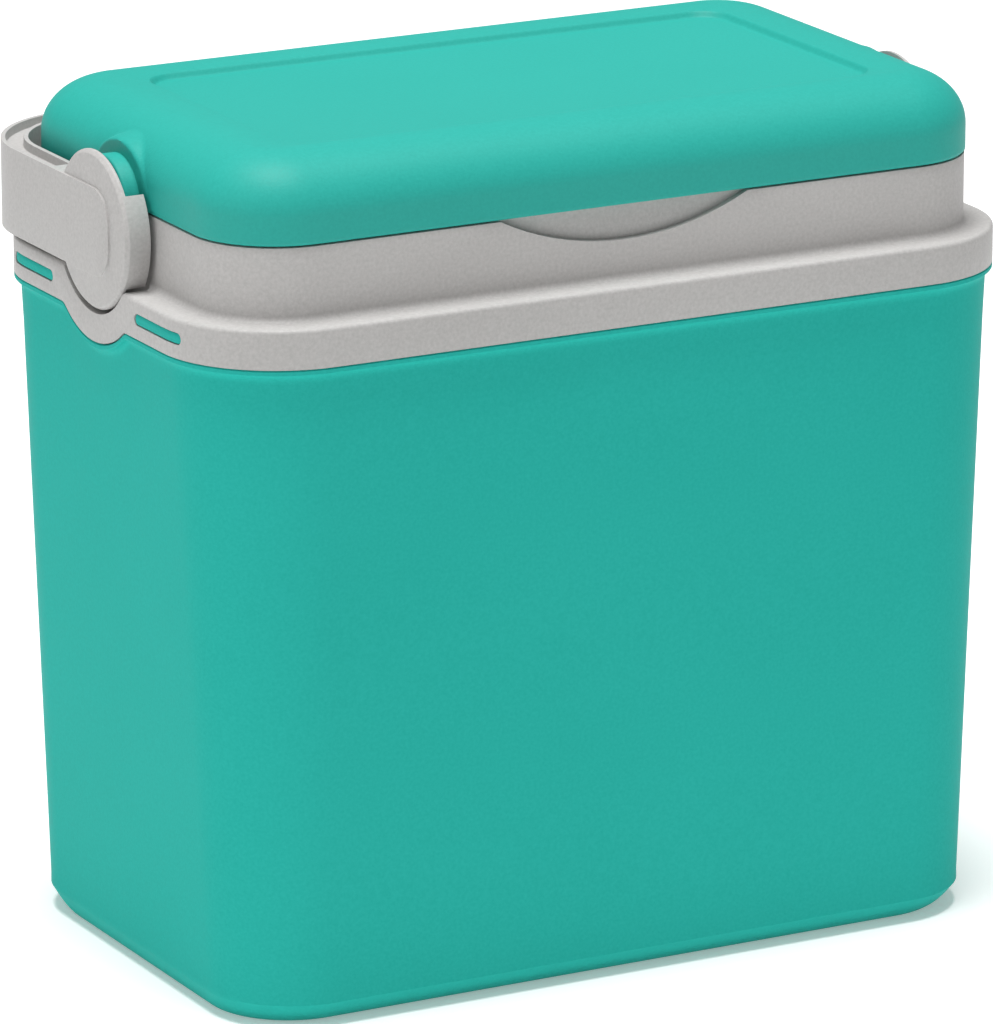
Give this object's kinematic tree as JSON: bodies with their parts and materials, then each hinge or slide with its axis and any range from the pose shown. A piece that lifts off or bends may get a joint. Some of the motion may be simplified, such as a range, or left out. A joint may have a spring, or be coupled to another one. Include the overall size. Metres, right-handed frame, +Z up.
{
  "type": "rigid cool box",
  "caption": "Rigid insulated cool box with a tapered shell, clip-on collar, lift-off insulated lid and a bail handle that folds flat and locks the lid when upright.",
  "frame": {"origin": "middle of the flat face that the box stands on", "axes": "+X along the long side between the handle's two hubs, the finger notch in the front faces -Y, +Z up towards the lid"},
  "size_m": [0.304, 0.1926, 0.2878],
  "materials": {
    "shell_plastic": "fine-grained satin",
    "lid_plastic": "fine-grained satin",
    "collar_plastic": "fine-grained satin",
    "handle_plastic": "fine-grained satin",
    "liner_plastic": "smooth satin",
    "foam": "beaded foam",
    "seal_rubber": "soft matte"
  },
  "bodies": {
    "base": {"outer_shell": "shell_plastic", "collar_ring": "collar_plastic", "inner_tub": "liner_plastic", "front_insulation": "foam", "rear_insulation": "foam", "left_insulation": "foam", "right_insulation": "foam", "floor_insulation": "foam", "left_pivot_stud": "collar_plastic", "right_pivot_stud": "collar_plastic"},
    "lid": {"lid_cover": "lid_plastic", "lid_pan": "liner_plastic", "lid_insulation": "foam", "lid_seal": "seal_rubber"},
    "handle": {"handle_bail": "handle_plastic"}
  },
  "joints": [
    {"name": "handle_swing", "type": "hinge", "parent": "base", "child": "handle", "pos_m": [0, 0, 0.2521], "axis": [1, 0, 0], "range_deg": [0, 180]},
    {"name": "lid_lift", "type": "slide", "parent": "base", "child": "lid", "axis": [0, 0, 1], "range_m": [0, 0.2]}
  ]
}
